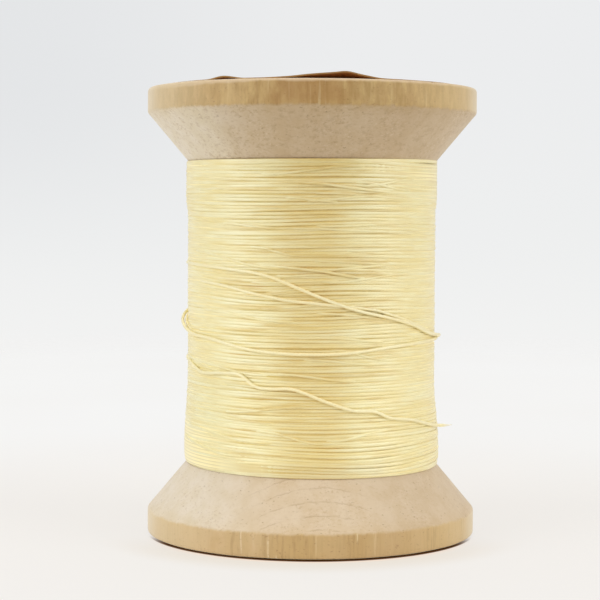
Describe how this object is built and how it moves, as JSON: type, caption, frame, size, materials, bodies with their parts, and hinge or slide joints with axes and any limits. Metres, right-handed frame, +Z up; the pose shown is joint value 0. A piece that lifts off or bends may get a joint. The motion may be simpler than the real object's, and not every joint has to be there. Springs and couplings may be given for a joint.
{
  "type": "waxed thread spool",
  "caption": "Turned wooden spool with coned flanges and a through bore, wound with waxed thread, one end loose, and a bare paper label on its top face.",
  "frame": {"origin": "centre of the base face, on the axis of the bore", "axes": "+Z up along the bore; -Y towards the side where the loose end of the thread crosses the winding; +X to that side's right"},
  "size_m": [0.0376, 0.0376, 0.0518],
  "materials": {
    "turned_wood": "bare, finely turned",
    "waxed_thread": "glazed with wax",
    "label_paper": "uncoated brown paper"
  },
  "bodies": {
    "root": {"spool": "turned_wood", "inner_thread_layers": "waxed_thread", "outer_thread_layer": "waxed_thread", "loose_thread_end": "waxed_thread", "top_label": "label_paper"}
  },
  "joints": []
}
